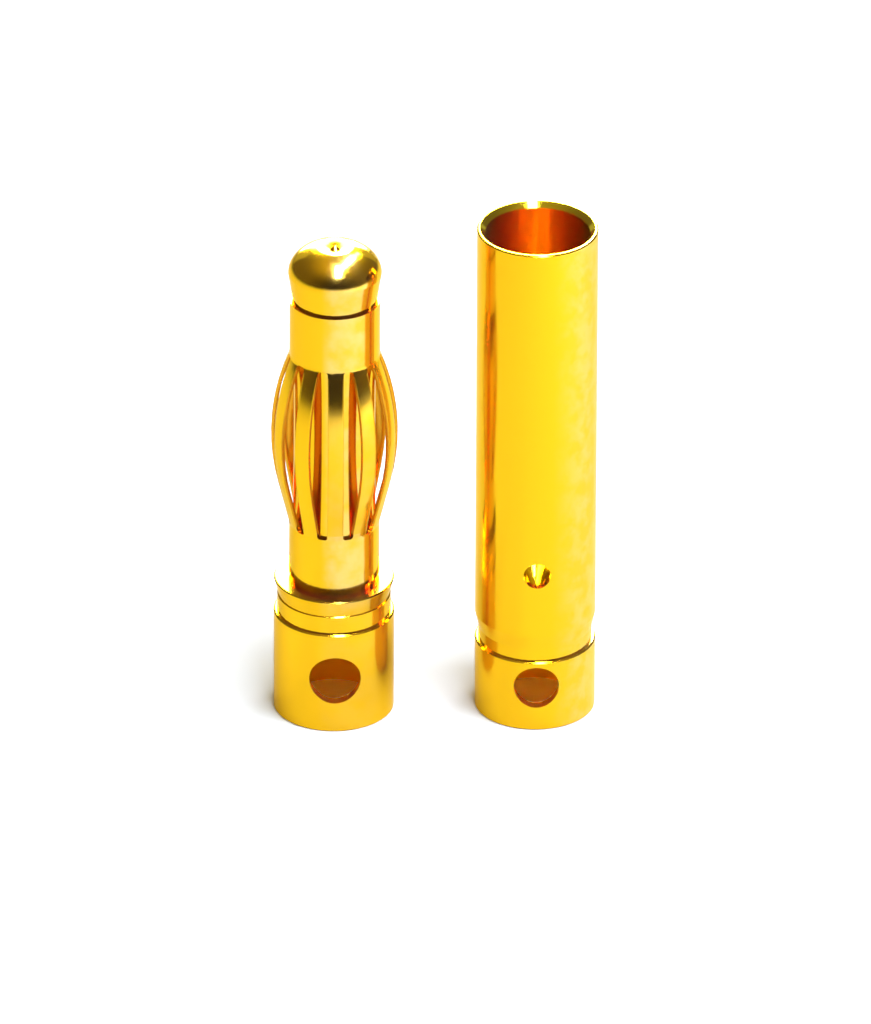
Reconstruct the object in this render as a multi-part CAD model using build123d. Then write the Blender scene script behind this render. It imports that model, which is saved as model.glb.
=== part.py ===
from build123d import *
from math import atan2, degrees, radians, asin, cos, hypot, sin, sqrt, tan
import os

# Gold-plated bullet connector for a battery lead: a plug and its socket, unmated, each
# standing on the open end of its solder cup. Millimetres, +Z up. The origin is midway
# between the two axes, on the surface they stand on. The plug is at -X and the socket
# at +X, and the solder holes face -Y.

# Placing of the two halves
pair_spacing = 8.0

# Plug: solder cup, from the standing face up
cup_dia = 4.80
cup_height = 4.35
cup_bore_dia = 3.90
cup_bore_depth = 4.10
cup_hole_dia = 2.05
cup_hole_height = 2.31

# Plug: groove above the cup, the small sloped ledge where it ends, and the flare that
# rises from there to the shoulder
groove_depth = 0.14
groove_width = 0.72
flare_foot_ledge = 0.04
flare_height = 0.77
shoulder_dia = 4.80

# Plug: core and head
core_dia = 3.26
head_foot_dia = 3.40
head_dia = 3.72
head_taper_height = 1.03
dome_height = 1.25
dish_dia = 1.50
dish_depth = 0.10
dish_rim_round = 0.06
pip_dia = 0.44
pip_height = 0.18

# Contact cage: thin sheet with slots, rolled round the core
sheet_thickness = 0.15
core_fit = 0.02
lift_above_shoulder = 0.21
clearance_below_head = 0.16
lower_band_height = 2.26
slot_length = 7.53
upper_band_height = 2.39
bow_dia = 5.03
bow_height_above_slot_foot = 3.98
slat_count = 11
slat_width = 0.63
slot_corner_radius = 0.11
root_bend_radius = 0.35
seam_gap = 0.12

# Socket: outside, from the standing face up
socket_dia = 4.80
socket_length = 21.33
socket_cup_height = 3.05
socket_groove_depth = 0.14
socket_groove_width = 0.54
socket_flare_height = 0.62
socket_cup_bore_dia = 3.90
socket_cup_bore_depth = 2.95
socket_hole_dia = 1.80
socket_hole_height = 1.92

# Socket: contact bore, its mouth and its vent
bore_dia = 4.16
bore_depth = 15.00
mouth_chamfer = 0.21
vent_dia = 1.08
vent_above_bore_floor = 0.62

# Common to all turned pieces
drill_point_angle = 118.0
edge_break = 0.06
base_edge_break = 0.05

# Heights that follow from the sizes above
groove_top = cup_height + groove_width
shoulder_height = groove_top + flare_height
cage_foot = shoulder_height + lift_above_shoulder
slot_foot = cage_foot + lower_band_height
slot_top = slot_foot + slot_length
cage_top = slot_top + upper_band_height
head_foot = cage_top + clearance_below_head
head_widest = head_foot + head_taper_height

# Outer radius of the rolled bands
band_radius = core_dia / 2 + core_fit + sheet_thickness


def drill_point_height(dia):
    """Depth of the cone that a drill leaves at the bottom of a hole."""
    return dia / 2 / tan(radians(drill_point_angle / 2))


def drilled_hole(dia, depth):
    """A drilled hole with its cone, opening at z = 0 and going up."""
    with BuildPart() as hole:
        with BuildSketch(Plane.XZ):
            with BuildLine():
                Polyline(
                    (0, 0),
                    (dia / 2, 0),
                    (dia / 2, depth),
                    (0, depth + drill_point_height(dia)),
                    close=True,
                )
            make_face()
        revolve(axis=Axis.Z)
    return hole.part


def front_hole(dia, height):
    """A round hole through the front wall only, from the axis out to -Y."""
    with BuildPart() as hole:
        with BuildSketch(Plane.XZ):
            with Locations((0, height)):
                Circle(dia / 2)
        extrude(amount=max(cup_dia, socket_dia))
    return hole.part


def round_corner(section, corner, radius):
    """Rounds the corner of a section that is nearest to a point."""
    fillet(section.vertices().sort_by_distance(corner)[0], radius)


def break_corner(section, corner, size):
    """Breaks the corner of a turned section that is nearest to a point, at 45 degrees."""
    chamfer(section.vertices().sort_by_distance(corner)[0], size)


def plug_section():
    """Half section of the plug's turned body, without the holes."""
    cup_radius = cup_dia / 2
    floor_radius = cup_radius - groove_depth
    dome_level = sqrt(1 - (dish_dia / head_dia) ** 2) * dome_height
    dish_rim = (dish_dia / 2, head_widest + dome_level)
    pip_foot = (pip_dia / 2, dish_rim[1] - dish_depth)
    rim_angle = degrees(atan2(dome_level / dome_height, dish_dia / head_dia))
    with BuildSketch(Plane.XZ) as section:
        with BuildLine():
            Polyline(
                (0, pip_foot[1] + pip_height),
                (0, 0),
                (cup_radius, 0),
                (cup_radius, cup_height),
                (floor_radius, cup_height),
                (floor_radius, groove_top),
                (floor_radius - flare_foot_ledge, groove_top + flare_foot_ledge),
                (shoulder_dia / 2, shoulder_height),
                (core_dia / 2, shoulder_height),
                (core_dia / 2, head_foot),
                (head_foot_dia / 2, head_foot),
                (head_dia / 2, head_widest),
            )
            EllipticalCenterArc(
                (0, head_widest), head_dia / 2, dome_height, 0, arc_size=rim_angle
            )
            SagittaArc(dish_rim, pip_foot, -dish_depth / 4)
            Line(pip_foot, (0, pip_foot[1] + pip_height))
        make_face()
        round_corner(section, dish_rim, dish_rim_round)
        break_corner(section, (shoulder_dia / 2, shoulder_height), edge_break)
        break_corner(section, (cup_radius, cup_height), edge_break)
        break_corner(section, (cup_radius, 0), base_edge_break)
    return section.sketch


def plug_pin():
    """Cup, shoulder, core and head, turned in one piece."""
    with BuildPart() as pin:
        add(plug_section())
        revolve(axis=Axis.Z)
        add(drilled_hole(cup_bore_dia, cup_bore_depth), mode=Mode.SUBTRACT)
        add(front_hole(cup_hole_dia, cup_hole_height), mode=Mode.SUBTRACT)
    return pin.part


# The bow of a slat, seen from the side, is one arc that starts at the upper root, passes
# its highest point and runs out in a straight line, tangent to it, to the lower root.
bow_apex = slot_foot + bow_height_above_slot_foot
bow_rise = bow_dia / 2 - band_radius
bow_radius = ((slot_top - bow_apex) ** 2 + bow_rise**2) / (2 * bow_rise)
bow_centre = bow_dia / 2 - bow_radius
root_run = bow_apex - slot_foot
root_reach = band_radius - bow_centre
root_slope = asin(bow_radius / hypot(root_run, root_reach)) - atan2(root_reach, root_run)


def strip_side(inset):
    """Points of one side of the bowed strip in half section, inset from its outside."""
    radius = band_radius - inset
    arc = bow_radius - inset
    lower_root = (radius, slot_foot + inset * tan(root_slope / 2))
    upper_root = (radius, bow_apex + sqrt(arc**2 - (radius - bow_centre) ** 2))
    run_out = (
        bow_centre + arc * cos(root_slope),
        bow_apex - arc * sin(root_slope),
    )
    apex = (bow_centre + arc, bow_apex)
    return (radius, cage_foot), lower_root, run_out, apex, upper_root, (radius, cage_top)


def strip_section():
    """Half section of the rolled strip: band, bow, band, at one thickness."""
    outside = strip_side(0)
    inside = strip_side(sheet_thickness)
    with BuildSketch(Plane.XZ) as section:
        with BuildLine():
            for foot, lower_root, run_out, apex, upper_root, top in (outside, inside):
                Polyline(foot, lower_root, run_out)
                ThreePointArc(run_out, apex, upper_root)
                Line(upper_root, top)
            Line(outside[0], inside[0])
            Line(outside[-1], inside[-1])
        make_face()
        lower_root, upper_root = outside[1], outside[4]
        round_corner(section, lower_root, root_bend_radius)
        round_corner(section, upper_root, root_bend_radius)
    return section.sketch


def slot_cutter():
    """What is cut away between two neighbouring slats, with the slot centred on +X.

    Its two long sides are parallel to the slats' middles, so each slat keeps its width."""
    half_pitch = radians(180 / slat_count)
    inner = band_radius - sheet_thickness - core_fit
    outer = bow_dia / 2 + sheet_thickness
    near = inner * tan(half_pitch) - slat_width / 2 / cos(half_pitch)
    far = outer * tan(half_pitch) - slat_width / 2 / cos(half_pitch)
    with BuildPart() as cutter:
        with BuildSketch(Plane.XY.offset(slot_foot)):
            with BuildLine():
                Polyline(
                    (inner, -near), (outer, -far), (outer, far), (inner, near), close=True
                )
            make_face()
        extrude(amount=slot_length)
        level_edges = cutter.edges().filter_by(Axis.Z, reverse=True)
        fillet(level_edges.filter_by(Axis.Y, reverse=True), slot_corner_radius)
    return cutter.part


def contact_cage():
    """The bowed spring, with its seam at the back, where the two ends of the sheet meet."""
    with BuildPart() as cage:
        add(strip_section())
        revolve(axis=Axis.Z)
        with PolarLocations(0, slat_count, start_angle=90):
            add(slot_cutter(), mode=Mode.SUBTRACT)
        with BuildSketch(Plane.XY.offset(cage_foot)):
            Rectangle(seam_gap, bow_dia, align=(Align.CENTER, Align.MIN))
        extrude(amount=cage_top - cage_foot, mode=Mode.SUBTRACT)
    return cage.part


def socket_section():
    """Half section of the socket's outside."""
    radius = socket_dia / 2
    floor_radius = radius - socket_groove_depth
    groove_top_here = socket_cup_height + socket_groove_width
    with BuildSketch(Plane.XZ) as section:
        with BuildLine():
            Polyline(
                (0, 0),
                (radius, 0),
                (radius, socket_cup_height),
                (floor_radius, socket_cup_height),
                (floor_radius, groove_top_here),
                (radius, groove_top_here + socket_flare_height),
                (radius, socket_length),
                (0, socket_length),
                close=True,
            )
        make_face()
        break_corner(section, (radius, socket_length), edge_break)
        break_corner(section, (radius, socket_cup_height), edge_break)
        break_corner(section, (radius, 0), base_edge_break)
    return section.sketch


def socket_barrel():
    """The tube that the plug goes into, with its solder cup, turned in one piece."""
    bore_floor = socket_length - bore_depth
    bore = Pos(0, 0, socket_length) * Rot(180, 0, 0) * drilled_hole(bore_dia, bore_depth)
    vent = front_hole(vent_dia, bore_floor + vent_above_bore_floor)
    with BuildPart() as barrel:
        add(socket_section())
        revolve(axis=Axis.Z)
        add(bore, mode=Mode.SUBTRACT)
        mouth = barrel.edges().filter_by(GeomType.CIRCLE)
        mouth = mouth.filter_by_position(Axis.Z, socket_length, socket_length)
        chamfer(mouth.sort_by(SortBy.RADIUS)[0], mouth_chamfer)
        add(drilled_hole(socket_cup_bore_dia, socket_cup_bore_depth), mode=Mode.SUBTRACT)
        add(front_hole(socket_hole_dia, socket_hole_height), mode=Mode.SUBTRACT)
        add(vent, mode=Mode.SUBTRACT)
    return barrel.part


plug_place = Pos(-pair_spacing / 2, 0, 0)
socket_place = Pos(pair_spacing / 2, 0, 0)
pieces = {
    "plug_pin": plug_place * plug_pin(),
    "contact_cage": plug_place * contact_cage(),
    "socket_barrel": socket_place * socket_barrel(),
}

os.makedirs("parts", exist_ok=True)
for name, piece in pieces.items():
    export_step(piece, f"parts/{name}.step")
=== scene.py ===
# %% [markdown]
# # A gold-plated bullet connector, dressed and lit in Blender
#
# The object is a round power connector for battery leads, in two halves that stand apart:
# a plug with a bowed spring cage on the left, and its socket on the right. All its metal is
# already modelled to size in CAD: the turned bodies, the 11 slats, the bores and the broken
# edges. So the object needs no mesh here. What is left for Blender is what makes metal look
# like metal, which is its finish and, even more, what it reflects.
#
# This first cell loads the CAD pieces as a fixed frame. Nothing here moves or resizes them.

# %% Load the frame
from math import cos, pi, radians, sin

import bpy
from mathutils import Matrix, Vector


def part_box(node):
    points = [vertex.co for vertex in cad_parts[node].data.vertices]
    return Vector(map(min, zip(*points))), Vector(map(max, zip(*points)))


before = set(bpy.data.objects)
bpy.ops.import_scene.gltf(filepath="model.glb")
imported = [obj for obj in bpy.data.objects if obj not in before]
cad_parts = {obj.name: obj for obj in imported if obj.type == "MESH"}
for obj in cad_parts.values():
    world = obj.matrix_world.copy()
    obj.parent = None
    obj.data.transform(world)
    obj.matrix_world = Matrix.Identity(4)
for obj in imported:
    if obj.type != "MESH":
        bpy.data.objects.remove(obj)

# %% [markdown]
# Blender counts in metres and the object is 21 mm tall, so its own sizes are written in
# millimetres and multiplied by `MM`. Those of the studio around it stay in metres. The two
# halves are turned pieces, and almost all of what follows needs their axes, which are read
# from the boxes of the pieces.

MM = 0.001
scene = bpy.context.scene
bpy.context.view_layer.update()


def axis_of(node):
    """The place of a turned piece's axis, on the surface it stands on."""
    low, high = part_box(node)
    return Vector(((low[0] + high[0]) / 2, (low[1] + high[1]) / 2, 0))


plug_axis = axis_of("plug_pin")
socket_axis = axis_of("socket_barrel")
print("axes in mm:", [round(value / MM, 2) for value in (plug_axis.x, socket_axis.x)])

# %% [markdown]
# ## The camera
#
# A bad camera spoils a good model, so it comes before the finish. This one was found by
# fitting the edges of the cups, the mouth and the head to the photograph: a long lens more
# than a metre away, looking down by 28 degrees. A long lens keeps the upright sides upright.
# It could be placed by eye and a Track To constraint, but that has no roll. Here its three
# directions are worked out from the angles, so each can be read and changed.

# %% Place the camera
view_distance = 1150 * MM
view_elevation = radians(28.48)
view_azimuth = radians(1.57)
view_roll = radians(0.291)
view_target = Vector((0.019, 0, 8.603)) * MM
focal_pixels = 28985
picture_height = 1024
sensor = 36
nearest_seen, farthest_seen = 0.1, 20

forward = Vector((
    sin(view_azimuth) * cos(view_elevation),
    cos(view_azimuth) * cos(view_elevation),
    -sin(view_elevation),
))
level_right = Vector((cos(view_azimuth), -sin(view_azimuth), 0))
level_up = level_right.cross(forward)
right = level_right * cos(view_roll) + level_up * sin(view_roll)
up = level_up * cos(view_roll) - level_right * sin(view_roll)

camera_data = bpy.data.cameras.new("camera")
camera_data.sensor_width = sensor
camera_data.lens = sensor * focal_pixels / picture_height
camera_data.clip_start, camera_data.clip_end = nearest_seen, farthest_seen
camera = bpy.data.objects.new("camera", camera_data)
camera.matrix_world = (
    Matrix.Translation(view_target - forward * view_distance)
    @ Matrix((right, up, -forward)).transposed().to_4x4()
)
scene.collection.objects.link(camera)
scene.camera = camera
scene.view_settings.view_transform = "Standard"
print("lens in mm:", round(camera_data.lens, 1))

# %% [markdown]
# ## Two small helpers
#
# Colours are picked as sRGB hex values, the way a screen shows them, but shaders add and
# multiply light, so they need linear values. One function turns the first into the second.
# The other adds a shader node. What it sets is either a plain value or the output of another
# node, and it tells the two apart.


# %% Colour and node helpers
def linear(hex_colour):
    """An sRGB hex colour as linear red, green, blue and full alpha."""
    channels = [int(hex_colour[i:i + 2], 16) / 255 for i in (1, 3, 5)]
    return [c / 12.92 if c <= 0.04045 else ((c + 0.055) / 1.055) ** 2.4 for c in channels] + [1]


def add_node(tree, kind, inputs=(), **settings):
    """Adds a shader node with its settings, and its inputs as pairs of socket and value."""
    node = tree.nodes.new("ShaderNode" + kind)
    for name, value in settings.items():
        setattr(node, name, value)
    for socket, value in dict(inputs).items():
        if isinstance(value, bpy.types.NodeSocket):
            tree.links.new(value, node.inputs[socket])
        else:
            node.inputs[socket].default_value = value
    return node


print("the screen's mid grey is", round(linear("#808080")[0], 3), "in linear light")

# %% [markdown]
# ## What all the gold shares
#
# Under the thin layer of bright gold plate is a copper alloy: brass for the turned bodies and
# spring strip for the cage. Gold takes out blue and part of the green, and each further
# reflection takes them out again. That is why a single reflection is yellow, the gap between
# two slats is orange, and the bore, where light bounces many times before it comes out, is
# almost red. One base colour gives most of this, as long as light may bounce often enough.
# Only a few places get one of their own, further down: the bore, the cut edges of the cage, where
# the colour is also painted shade, and the cups, where it is painted light.
#
# Three small things keep it from looking like a toy's gold paint. At a grazing angle metal
# turns towards white, which is the specular tint. Handled plate has a faint milky veil, which
# is a touch of sheen. And a lathe leaves fine rings round the piece, which scatter light
# along the axis, so the shader is slightly anisotropic with its tangent along the axis.
#
# A material on a turned piece also wants to know how far a point is from the axis and how
# high it is, to tell the inside of a bore from the outside. The function hands both on.

# %% The shared plate
gold_plate = "#FBC81C"
edge_tint = "#FFF6C8"
plate_anisotropy = 0.3
plate_haze = 0.02
haze_spread = 0.7
light_bounces = 32
scattered_bounces = 16

scene.cycles.max_bounces = light_bounces
scene.cycles.glossy_bounces = light_bounces
scene.cycles.diffuse_bounces = scattered_bounces
print("light may bounce", light_bounces, "times")


def start_plate(name, axis):
    """Starts a gold-plated material on a turned piece, and returns its tree and sockets."""
    material = bpy.data.materials.new(name)
    material.use_nodes = True
    tree = material.node_tree
    shader = tree.nodes["Principled BSDF"]
    shader.inputs["Metallic"].default_value = 1
    shader.inputs["Anisotropic"].default_value = plate_anisotropy
    shader.inputs["Sheen Weight"].default_value = plate_haze
    shader.inputs["Sheen Roughness"].default_value = haze_spread
    shader.inputs["Specular Tint"].default_value = linear(edge_tint)
    surface = add_node(tree, "NewGeometry")
    from_axis = add_node(
        tree, "VectorMath", {0: surface.outputs["Position"], 1: axis}, operation="SUBTRACT"
    )
    around = add_node(
        tree, "VectorMath", {0: (0, 0, 1), 1: from_axis.outputs[0]}, operation="CROSS_PRODUCT"
    )
    along = add_node(
        tree, "VectorMath", {0: surface.outputs["Normal"], 1: around.outputs[0]},
        operation="CROSS_PRODUCT",
    )
    tree.links.new(along.outputs[0], shader.inputs["Tangent"])
    place = add_node(tree, "SeparateXYZ", {0: from_axis.outputs[0]})
    radius = add_node(tree, "VectorMath", {0: around.outputs[0]}, operation="LENGTH")
    return material, tree, shader, from_axis.outputs[0], radius.outputs["Value"], place.outputs[2]


# %% [markdown]
# The colour also has a painted highlight: paler gold on one side of each piece, where the lamps'
# light makes the gold look pale. A painted picture could show it, but it would need the piece
# unwrapped. Noise needs nothing: here it breaks the painted highlight into patches, and the
# direction from the axis keeps it to one side.

# %% Painted highlight in pale patches
# painted highlight: the paler gold that the colour turns towards on one side
painted_highlight_gold = "#FADA89"
highlight_full = 0.95
patch_from, patch_to, patch_least = 0.38, 0.62, 0.25
patch_detail = 4


def highlighted_plate_tone(tree, place, radius, patch_size, highlight_side, highlight_from, amount):
    """The plate's colour with a painted highlight on one side, broken into patches by noise, and
    that noise.

    The highlight's side is an angle in degrees, from the front towards the right."""
    side = (sin(radians(highlight_side)), -cos(radians(highlight_side)), 0)
    towards = add_node(tree, "VectorMath", {0: place, 1: side}, operation="DOT_PRODUCT")
    facing = add_node(tree, "Math", {0: towards.outputs["Value"], 1: radius}, operation="DIVIDE")
    turned = add_node(
        tree, "MapRange",
        {
            "Value": facing.outputs[0], "From Min": highlight_from, "From Max": highlight_full,
            "To Max": amount,
        },
        interpolation_type="SMOOTHSTEP",
    )
    noise = add_node(
        tree, "TexNoise", {"Vector": place, "Scale": 1 / patch_size, "Detail": patch_detail}
    )
    patch = add_node(
        tree, "MapRange",
        {
            "Value": noise.outputs["Fac"], "From Min": patch_from, "From Max": patch_to,
            "To Min": patch_least,
        },
    )
    pale = add_node(tree, "Math", {0: turned.outputs[0], 1: patch.outputs[0]}, operation="MULTIPLY")
    tone = add_node(
        tree, "Mix",
        {0: pale.outputs[0], 6: linear(gold_plate), 7: linear(painted_highlight_gold)},
        data_type="RGBA",
    )
    return tone.outputs[2], noise.outputs["Fac"]


print("pale plate in linear light:", [round(part, 2) for part in linear(painted_highlight_gold)[:3]])

# %% [markdown]
# The solder cups are drilled before plating, and nothing has rubbed the plate in them since. It is
# dull over the marks of the drill, so it doesn't mirror the floor. Its colour is painted paler than
# the plate, which is painted light: it lets the dark inside of a cup glow softly brown. A second
# material on these faces would do as well, but each face would have to be picked. Two tests find
# them without that: near the axis, and low down.

# %% Inside the solder cups
# drilled plate, painted paler: painted light in the dark cups
cup_plate_painted_lighter = "#FFE866"
drilled_roughness = 0.6
cup_wall = 1.97 * MM
cup_top = 5.0 * MM


def inside_cup(tree, radius, height):
    """1 inside the drilled solder cup and 0 outside it."""
    near_axis = add_node(tree, "Math", {0: radius, 1: cup_wall}, operation="LESS_THAN")
    low_down = add_node(tree, "Math", {0: height, 1: cup_top}, operation="LESS_THAN")
    return add_node(
        tree, "Math", {0: near_axis.outputs[0], 1: low_down.outputs[0]}, operation="MULTIPLY"
    ).outputs[0]


print("a cup is inside", round(cup_wall / MM, 2), "mm and below", round(cup_top / MM, 2), "mm")

# %% [markdown]
# ## The plug's body: bright gold plate over turned brass
#
# The cup, the shoulder, the core and the head are one piece, cut on a lathe from a bar and
# then barrel-plated. The plate follows what is under it: the outside was finished with
# a fine cut and is almost a mirror. In the mesh the rings of that cut would cost thousands of
# faces, so they are noise in the normal, which changes with height and radius but not around
# the axis. A real feed mark is about 0.05 mm wide, which is one pixel here, so the rings are
# drawn three times as coarse. The paler patches in the colour are a painted highlight, and it lies
# mostly above the cup.

# %% Plug body
turned_roughness = 0.14
ring_spacing = 0.15 * MM
ring_depth = 0.00008 * MM
ring_detail = 2
plug_patch_size = 0.9 * MM
# the plug's painted highlight: its side, where it starts, and how much of it the head and the cup
# get
plug_highlight_side = 17
plug_highlight_from = 0.8
head_highlight = 0.6
cup_highlight = 0.09
highlight_rise = 1.0 * MM


def turned_plate():
    """Bright gold plate on the turned plug, dull inside the drilled cup."""
    material, tree, shader, place, radius, height = start_plate(
        "bright_gold_plate_on_turned_brass", plug_axis
    )
    amount = add_node(
        tree, "MapRange",
        {
            "Value": height, "From Min": cup_top, "From Max": cup_top + highlight_rise,
            "To Min": cup_highlight, "To Max": head_highlight,
        },
    )
    tone, _ = highlighted_plate_tone(
        tree, place, radius, plug_patch_size, plug_highlight_side, plug_highlight_from, amount.outputs[0]
    )
    in_cup = inside_cup(tree, radius, height)
    colour = add_node(tree, "Mix", {0: in_cup, 6: tone, 7: linear(cup_plate_painted_lighter)}, data_type="RGBA")
    tree.links.new(colour.outputs[2], shader.inputs["Base Color"])
    roughness = add_node(tree, "Mix", {0: in_cup, 2: turned_roughness, 3: drilled_roughness})
    tree.links.new(roughness.outputs[0], shader.inputs["Roughness"])

    section = add_node(tree, "CombineXYZ", {0: radius, 2: height})
    rings = add_node(
        tree, "TexNoise",
        {"Vector": section.outputs[0], "Scale": 1 / ring_spacing, "Detail": ring_detail},
    )
    relief = add_node(tree, "Bump", {"Height": rings.outputs["Fac"], "Distance": ring_depth})
    tree.links.new(relief.outputs[0], shader.inputs["Normal"])
    return material


plug_finish = turned_plate()
print("made", plug_finish.name)

# %% [markdown]
# ## The cage: bright gold plate over stamped and rolled strip
#
# The cage starts as flat spring strip, which is plated, cut and rolled into a tube. Little plate is
# on the cut edges and the inside of the cage, and the strip's own copper alloy shows through. These
# are the faces that don't look away from the axis, and that is how they are found. Their darker,
# warmer colour is partly that alloy and partly painted shade, which makes the gaps between the
# slats a warmer brown. The slats have much less of the painted highlight than the two bands.

# %% Cage, colour
slats_middle = 12.08 * MM
slats_reach = 3.55 * MM
# how much of the painted highlight the bands and the slats get
band_highlight = 0.75
slat_highlight = 0.19
# a darker, warmer gold: bare alloy on the cut edges, and painted shade in the gaps between the
# slats
thin_plate_and_gap_shade = "#E4AA2C"
thin_until, full_from = 0.4, 0.8


def strip_tone(tree, place, radius, on_slat):
    """The strip's colour: a painted highlight in patches on its outer face, and thin plate with
    painted shade on the others.
    """
    amount = add_node(tree, "Mix", {0: on_slat, 2: band_highlight, 3: slat_highlight})
    tone, _ = highlighted_plate_tone(
        tree, place, radius, plug_patch_size, plug_highlight_side, plug_highlight_from, amount.outputs[0]
    )
    outward = add_node(tree, "VectorMath", {0: place, 1: (1, 1, 0)}, operation="MULTIPLY")
    surface = add_node(tree, "NewGeometry")
    facing = add_node(
        tree, "VectorMath", {0: outward.outputs[0], 1: surface.outputs["True Normal"]},
        operation="DOT_PRODUCT",
    )
    share = add_node(tree, "Math", {0: facing.outputs["Value"], 1: radius}, operation="DIVIDE")
    full = add_node(
        tree, "MapRange",
        {"Value": share.outputs[0], "From Min": thin_until, "From Max": full_from},
    )
    colour = add_node(
        tree, "Mix", {0: full.outputs[0], 6: linear(thin_plate_and_gap_shade), 7: tone}, data_type="RGBA"
    )
    return colour.outputs[2]


print("the cage counts as slats for", round(2 * slats_reach / MM, 2), "mm of its height")

# %% [markdown]
# The strip keeps the fine grain of the rolling mill, which runs along the slats, and the press
# leaves its cut edges slightly rounded. A round edge shows as a thin light line down each side
# of a slat. It could be cut into the mesh, but the Bevel node does it without: it bends the
# normal near an edge and leaves the mesh as it is. The bands have no such edges in view, so
# the node works between the two ends of the slots only.

# %% Cage, grain and edges
strip_roughness = 0.13
roughness_spread = 0.03
grain_width = 0.10 * MM
grain_length = 1.5 * MM
grain_depth = 0.0001 * MM
grain_detail = 2
cut_edge_round = 0.12 * MM
edge_samples = 4


def strip_plate():
    """Bright gold plate on the rolled strip, with lengthwise grain and rounded cut edges."""
    material, tree, shader, place, radius, height = start_plate(
        "bright_gold_plate_on_spring_strip", plug_axis
    )
    on_slat = add_node(
        tree, "Math", {0: height, 1: slats_middle, 2: slats_reach}, operation="COMPARE"
    ).outputs[0]
    tree.links.new(strip_tone(tree, place, radius, on_slat), shader.inputs["Base Color"])

    stretched = add_node(
        tree, "VectorMath", {0: place, 1: (1 / grain_width, 1 / grain_width, 1 / grain_length)},
        operation="MULTIPLY",
    )
    grain = add_node(
        tree, "TexNoise", {"Vector": stretched.outputs[0], "Scale": 1, "Detail": grain_detail}
    )
    roughness = add_node(
        tree, "MapRange",
        {
            "Value": grain.outputs["Fac"],
            "To Min": strip_roughness - roughness_spread,
            "To Max": strip_roughness + roughness_spread,
        },
    )
    tree.links.new(roughness.outputs[0], shader.inputs["Roughness"])

    edge_size = add_node(tree, "Math", {0: on_slat, 1: cut_edge_round}, operation="MULTIPLY")
    edge = add_node(tree, "Bevel", {"Radius": edge_size.outputs[0]}, samples=edge_samples)
    relief = add_node(
        tree, "Bump",
        {"Height": grain.outputs["Fac"], "Distance": grain_depth, "Normal": edge.outputs[0]},
    )
    tree.links.new(relief.outputs[0], shader.inputs["Normal"])
    return material


cage_finish = strip_plate()
print("made", cage_finish.name)

# %% [markdown]
# ## The socket: satin gold plate over a turned tube
#
# The bore was reamed to take the plug, so it is smoother than the outside, and it mirrors
# itself over and over. Its plate is a slightly greener gold, which keeps light that has
# bounced there many times from turning deep red. The floor of the outer groove is as near the
# axis as the bore's mouth, so height tells the two apart.

# %% Bore
bore_wall = 2.30 * MM
bore_roughness = 0.11
bored_plate = "#F5DC38"


def inside_bore(tree, radius, height):
    """1 inside the reamed bore and 0 outside it."""
    near_axis = add_node(tree, "Math", {0: radius, 1: bore_wall}, operation="LESS_THAN")
    above_cup = add_node(tree, "Math", {0: height, 1: cup_top}, operation="GREATER_THAN")
    return add_node(
        tree, "Math", {0: near_axis.outputs[0], 1: above_cup.outputs[0]}, operation="MULTIPLY"
    ).outputs[0]


print("the bore is inside", round(bore_wall / MM, 2), "mm")

# %% [markdown]
# The outside has a softer, slightly blotchy shine, as plate has over a surface that was tumbled
# before plating. Noise of about half a millimetre sets the blotches in roughness, and a finer noise
# dents the surface just enough to break up the reflections. The same noise breaks a painted
# highlight in the colour into paler blotches, which are palest on the right side.

# %% Socket
satin_smoothest, satin_roughest = 0.11, 0.21
satin_from, satin_to = 0.3, 0.7
blotch_size = 0.6 * MM
# the socket's painted highlight: its side, where it starts and how pale it gets
socket_highlight_side = 90
socket_highlight_from = 0.2
socket_highlight = 0.6
dent_size = 0.35 * MM
dent_depth = 0.00025 * MM
dent_detail = 1


def satin_plate():
    """Satin gold plate on the socket, with a smoother bore and a dull, drilled cup."""
    material, tree, shader, place, radius, height = start_plate(
        "satin_gold_plate_on_turned_tube", socket_axis
    )
    reamed = inside_bore(tree, radius, height)
    in_cup = inside_cup(tree, radius, height)
    tone, blotches = highlighted_plate_tone(
        tree, place, radius, blotch_size, socket_highlight_side, socket_highlight_from, socket_highlight
    )
    lined = add_node(tree, "Mix", {0: reamed, 6: tone, 7: linear(bored_plate)}, data_type="RGBA")
    colour = add_node(
        tree, "Mix", {0: in_cup, 6: lined.outputs[2], 7: linear(cup_plate_painted_lighter)}, data_type="RGBA"
    )
    tree.links.new(colour.outputs[2], shader.inputs["Base Color"])

    outside = add_node(
        tree, "MapRange",
        {
            "Value": blotches, "From Min": satin_from, "From Max": satin_to,
            "To Min": satin_smoothest, "To Max": satin_roughest,
        },
    )
    with_bore = add_node(tree, "Mix", {0: reamed, 2: outside.outputs[0], 3: bore_roughness})
    roughness = add_node(
        tree, "Mix", {0: in_cup, 2: with_bore.outputs[0], 3: drilled_roughness}
    )
    tree.links.new(roughness.outputs[0], shader.inputs["Roughness"])

    dents = add_node(
        tree, "TexNoise", {"Vector": place, "Scale": 1 / dent_size, "Detail": dent_detail}
    )
    relief = add_node(tree, "Bump", {"Height": dents.outputs["Fac"], "Distance": dent_depth})
    tree.links.new(relief.outputs[0], shader.inputs["Normal"])
    return material


socket_finish = satin_plate()
print("made", socket_finish.name)

# %% [markdown]
# The CAD pieces stay as they are and only get their finish. Any material that a piece came
# with is cleared first.

# %% Dress the pieces
finishes = {
    "plug_pin": plug_finish,
    "contact_cage": cage_finish,
    "socket_barrel": socket_finish,
}
for node, finish in finishes.items():
    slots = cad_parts[node].data.materials
    slots.clear()
    slots.append(finish)
    print(node, "is", finish.name)

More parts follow.
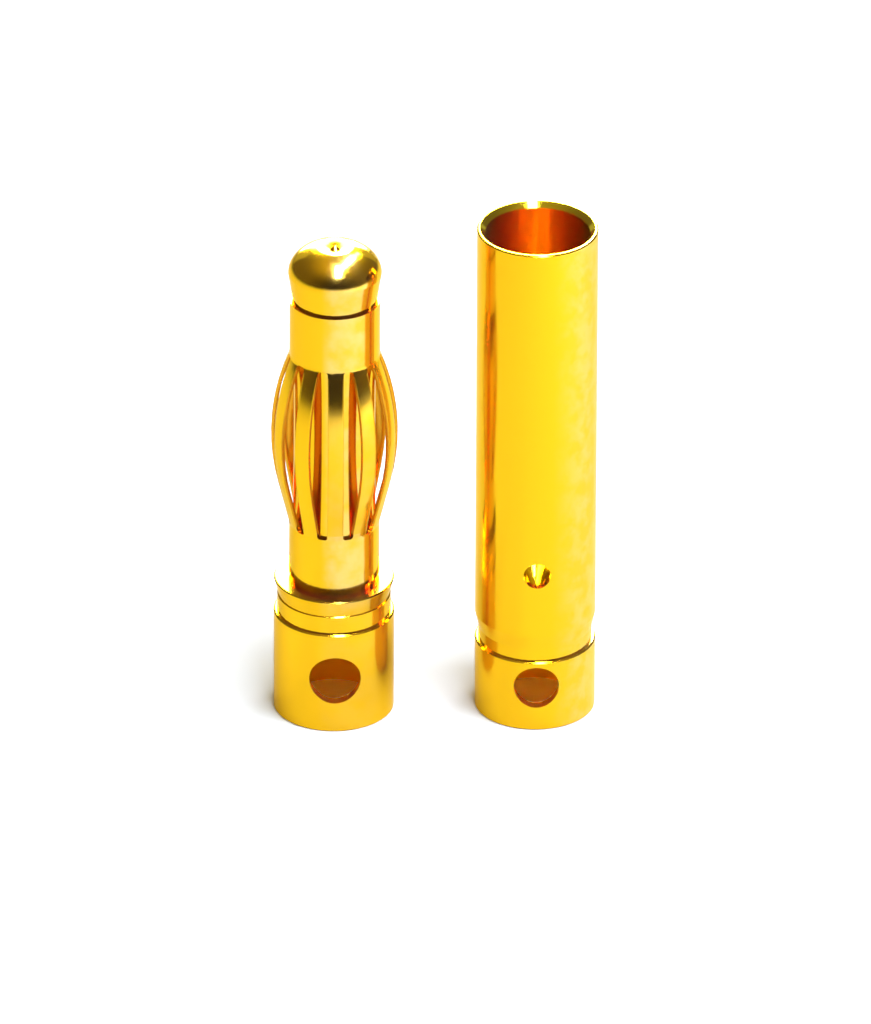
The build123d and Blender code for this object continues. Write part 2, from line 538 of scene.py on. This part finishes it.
# %% [markdown]
# ## The studio's sheets
#
# Polished metal has no look of its own: it shows the room. All that it can show here is made
# of flat sheets: the floor, the backdrop and some bright cards. Each could be a plane from
# Blender's menu, scaled and turned into place. Here the four corners are written out instead,
# because they are the real places, in metres.


# %% Sheets and bare materials
def stage_plane(name, corners, material):
    """A flat sheet that belongs to the studio and not to the object."""
    mesh = bpy.data.meshes.new(name)
    mesh.from_pydata(corners, [], [(0, 1, 2, 3)])
    mesh.materials.append(material)
    sheet = bpy.data.objects.new(name, mesh)
    scene.collection.objects.link(sheet)
    print(name, "is", round(mesh.polygons[0].area, 2), "square metres")
    return sheet


def blank_material(name):
    """A material with nothing in its tree but the output."""
    material = bpy.data.materials.new(name)
    material.use_nodes = True
    tree = material.node_tree
    tree.nodes.remove(tree.nodes["Principled BSDF"])
    return material, tree, tree.nodes["Material Output"].inputs["Surface"]


# %% [markdown]
# ## The floor
#
# Upright walls seen from above mirror the floor in front of them, so the floor is what makes
# them yellow. It is white paper, and matt, so it also catches the soft shadows.
#
# For all rays but the camera's, the paper's colour is painted darker away from the object, a
# painted pool of light round it: this gives the cups their darker upper parts and outer sides. In
# the mirror image of a mirror image the paper is painted darker still, which is painted shade on
# the stripe that each half shows of the other.

# %% Paper, as the gold sees it
paper_white = 0.9
# painted shade in the second mirror, and a painted pool of light round the object
painted_shade_in_second_mirror = 0.78
painted_pool_from, painted_pool_to, painted_pool_end = 0.07, 0.30, 0.25

paper, tree, surface = blank_material("white_paper")
ray = add_node(tree, "LightPath")
spot = add_node(tree, "NewGeometry")
away = add_node(tree, "VectorMath", {0: spot.outputs["Position"]}, operation="LENGTH")
pool = add_node(
    tree, "MapRange",
    {
        "Value": away.outputs["Value"], "From Min": painted_pool_from, "From Max": painted_pool_to,
        "To Min": paper_white, "To Max": paper_white * painted_pool_end,
    },
)
second_mirror_shade = add_node(
    tree, "MapRange",
    {
        "Value": ray.outputs["Ray Depth"], "From Min": 1, "From Max": 2,
        "To Min": 1, "To Max": painted_shade_in_second_mirror,
    },
)
lit = add_node(tree, "Math", {0: pool.outputs[0], 1: second_mirror_shade.outputs[0]}, operation="MULTIPLY")
print("away from the object the paper falls from", paper_white, "to", paper_white * painted_pool_end)

# %% [markdown]
# Hardly any light gets into the cups by their holes, so the paper under them is lighter, to
# let one see that they are hollow. Both cups are equally far from the middle, so one test with
# the place's absolute value finds them both.
#
# Where the camera sees the paper directly, it is lighter too, and a little cooler. So it comes
# out white next to gold that throws yellow light on it, without more light on the object. In
# both places it gives back more light than it gets, which only a picture can do.

# %% Floor
paper_under_cup = 1.45
paper_seen = 1.5
cool_white = (0.93, 1.02, 1.2)
floor_reach = 6.0

either_side = add_node(tree, "VectorMath", {0: spot.outputs["Position"]}, operation="ABSOLUTE")
from_axis = add_node(
    tree, "VectorMath", {0: either_side.outputs[0], 1: socket_axis}, operation="DISTANCE"
)
under_cup = add_node(
    tree, "Math", {0: from_axis.outputs["Value"], 1: cup_wall}, operation="LESS_THAN"
)
off_camera = add_node(
    tree, "Mix", {0: under_cup.outputs[0], 2: lit.outputs[0], 3: paper_under_cup}
)
brightness = add_node(
    tree, "MapRange",
    {
        "Value": ray.outputs["Is Camera Ray"],
        "To Min": off_camera.outputs[0], "To Max": paper_white * paper_seen,
    },
)
cool = add_node(
    tree, "Mix", {0: ray.outputs["Is Camera Ray"], 4: (1, 1, 1), 5: cool_white}, data_type="VECTOR"
)
seen = add_node(
    tree, "VectorMath", {0: cool.outputs[1], "Scale": brightness.outputs[0]}, operation="SCALE"
)
diffuse = add_node(tree, "BsdfDiffuse", {"Color": seen.outputs[0]})
tree.links.new(diffuse.outputs[0], surface)
stage_plane(
    "floor",
    [(-floor_reach, -floor_reach, 0), (floor_reach, -floor_reach, 0),
     (floor_reach, floor_reach, 0), (-floor_reach, floor_reach, 0)],
    paper,
)

# %% [markdown]
# ## The backdrop
#
# Faces that look straight up, such as the shoulder and the rim of the socket, mirror what
# is far behind the object. It is a pale wall. The camera never looks up at it, but other
# views may, and they see it white. In reflections it is a light grey.

# %% Backdrop
backdrop_half, backdrop_back, backdrop_top = 1.8, 2.1, 1.62
backdrop_mirrored = 0.4
wall, tree, surface = blank_material("pale_wall")
ray = add_node(tree, "LightPath")
glow = add_node(
    tree, "MapRange",
    {"Value": ray.outputs["Is Camera Ray"], "To Min": backdrop_mirrored, "To Max": 1},
)
light = add_node(tree, "Emission", {"Strength": glow.outputs[0]})
tree.links.new(light.outputs[0], surface)


def upright_corners(half, back, top):
    """Corners of an upright sheet behind the object."""
    return [(-half, back, 0), (half, back, 0), (half, back, top), (-half, back, top)]


stage_plane("backdrop", upright_corners(backdrop_half, backdrop_back, backdrop_top), wall)

# %% [markdown]
# ## Bright cards
#
# The white crescents on the shoulder, the rim and the top of the head are mirror images of
# something much brighter than paper: a lit screen straight behind the object. It is
# a card that only reflections see, so it doesn't light or show on its own. The lamps need
# such cards too, because a card can have the exact outline that the highlights show.
#
# A very bright card seen through two or three mirrors in a row is a small chance with a large
# result. It would leave hard white flecks in the bore and between the slats, and yellow
# patches on the paper. So a card has its full strength in the first mirror only, and is
# weaker in the next ones, and weaker still for light that has already met the paper.


# %% Cards that only reflections see
card_after_metal = 16
card_after_paper = 1
card_gap = 0.01


def bright_card(name, corners, strength):
    """A glowing sheet that is seen in reflections and nowhere else."""
    material, tree, surface = blank_material(name)
    ray = add_node(tree, "LightPath")
    in_mirrors = add_node(
        tree, "MapRange",
        {
            "Value": ray.outputs["Ray Depth"], "From Min": 1, "From Max": 2,
            "To Min": strength, "To Max": card_after_metal,
        },
    )
    glow = add_node(
        tree, "MapRange",
        {
            "Value": ray.outputs["Diffuse Depth"],
            "To Min": in_mirrors.outputs[0], "To Max": card_after_paper,
        },
    )
    light = add_node(tree, "Emission", {"Strength": glow.outputs[0]})
    tree.links.new(light.outputs[0], surface)
    card = stage_plane(name, corners, material)
    card.visible_camera = False
    card.visible_diffuse = False
    card.visible_shadow = False
    return card


screen_half, screen_top = 0.76, 2.5
screen_strength = 75
bright_card(
    "lit_screen",
    upright_corners(screen_half, backdrop_back - card_gap, screen_top),
    screen_strength,
)

# %% [markdown]
# ## The room
#
# The rest of the room is dim, and its darkness is what draws the shape: the tops of the
# slats, the dome and the ring under the cage mirror it. It is darkest in front of the object,
# lighter to the sides and the back, and lightest straight overhead, and its light is warm.
# A picture of a real room could light the scene, but a few numbers are easier to change. The
# camera itself sees white where the floor ends, because a strength of 1 is white.

# %% World
room_tint = "#FFE7A0"
ceiling_light = 0.5
ceiling_narrowness = 6
front_light, side_light = 0.03, 0.15
front_way, side_way = -1, -0.3

room = bpy.data.worlds.new("dim_room")
room.use_nodes = True
scene.world = room
tree = room.node_tree
dim = tree.nodes["Background"]
looking = add_node(tree, "TexCoord")
way = add_node(tree, "SeparateXYZ", {0: looking.outputs["Generated"]})
overhead = add_node(tree, "Math", {0: way.outputs[2], 1: ceiling_narrowness}, operation="POWER")
walls = add_node(
    tree, "MapRange",
    {
        "Value": way.outputs[1], "From Min": front_way, "From Max": side_way,
        "To Min": front_light, "To Max": side_light,
    },
)
radiance = add_node(
    tree, "Math", {0: overhead.outputs[0], 1: ceiling_light, 2: walls.outputs[0]},
    operation="MULTIPLY_ADD",
)
dim.inputs["Color"].default_value = linear(room_tint)
tree.links.new(radiance.outputs[0], dim.inputs["Strength"])
white = add_node(tree, "Background", {"Color": (1, 1, 1, 1)})
ray = add_node(tree, "LightPath")
room_mix = add_node(
    tree, "MixShader", {0: ray.outputs["Is Camera Ray"], 1: dim.outputs[0], 2: white.outputs[0]}
)
tree.links.new(room_mix.outputs[0], tree.nodes["World Output"].inputs["Surface"])
print("the room's light runs from", front_light, "to", ceiling_light + side_light)

# %% [markdown]
# ## The ceiling lamps
#
# Their places were read from the highlights. On the dome one sees a soft square with
# a stripe running off to the upper right, and from the dome's known shape each point of that
# outline gives one direction in the room. They are two lamps under the ceiling: a soft box
# just in front, and a long strip light that runs away to the right and to the back.
#
# `ceiling_lamp` takes the ends of a lamp's middle line in the plane one metre up, and scales
# them to the height where the lamp hangs. The lamp itself lights the paper, and its bright
# card does the reflections. Its power grows with its area, so that a wide lamp is as bright
# to look at as a narrow one.


# %% Ceiling lamps
lamp_height = 2.0
lamp_radiance = 10.2
lamp_card_strength = 85
soft_box_ends, soft_box_width = ((0.135, -0.78), (0.135, -0.02)), 0.23
strip_light_ends, strip_light_width = ((0.25, -0.05), (0.95, 1.7)), 0.13


def ceiling_lamp(name, start, end, width):
    """A flat lamp facing down, with the card that reflections see a centimetre below it."""
    near, far = (Vector((*point, 1)) * lamp_height for point in (start, end))
    data = bpy.data.lights.new(name, "AREA")
    data.shape = "RECTANGLE"
    data.size = width * lamp_height
    data.size_y = (far - near).length
    data.energy = lamp_radiance * pi * data.size * data.size_y
    lamp = bpy.data.objects.new(name, data)
    along = (far - near).normalized()
    across = along.cross(Vector((0, 0, 1)))
    turn = Matrix((across, along, (0, 0, 1))).transposed().to_4x4()
    lamp.matrix_world = Matrix.Translation((near + far) / 2) @ turn
    lamp.visible_glossy = False
    scene.collection.objects.link(lamp)
    half_width, half_length = data.size / 2, data.size_y / 2
    signs = ((-1, -1), (1, -1), (1, 1), (-1, 1))
    corners = [
        lamp.matrix_world @ Vector((x * half_width, y * half_length, -card_gap)) for x, y in signs
    ]
    bright_card(name + "_card", corners, lamp_card_strength)
    print(name, "gives", round(data.energy), "W")


ceiling_lamp("soft_box", *soft_box_ends, soft_box_width)
ceiling_lamp("strip_light", *strip_light_ends, strip_light_width)

# %% [markdown]
# ## The side lamp
#
# The shadows on the paper fall to the left, and the gold is lighter on the right. So there
# is a small lamp low on the right, close to the object, which makes a pool of light on the
# paper there. Polished gold shows a lamp as a hard spot, and there is none of this lamp, so
# reflections don't see it: they only see the paper that it lights.

# %% Side lamp
side_place = Vector((0.12, -0.07, 0.09))
side_size = 0.12
side_radiance = 5.2
side_data = bpy.data.lights.new("side_lamp", "AREA")
side_data.size = side_size
side_data.energy = side_radiance * pi * side_size ** 2
side_lamp = bpy.data.objects.new("side_lamp", side_data)
side_lamp.matrix_world = (
    Matrix.Translation(side_place) @ side_place.to_track_quat("Z", "Y").to_matrix().to_4x4()
)
side_lamp.visible_glossy = False
scene.collection.objects.link(side_lamp)
print("side lamp gives", round(side_data.energy, 2), "W")
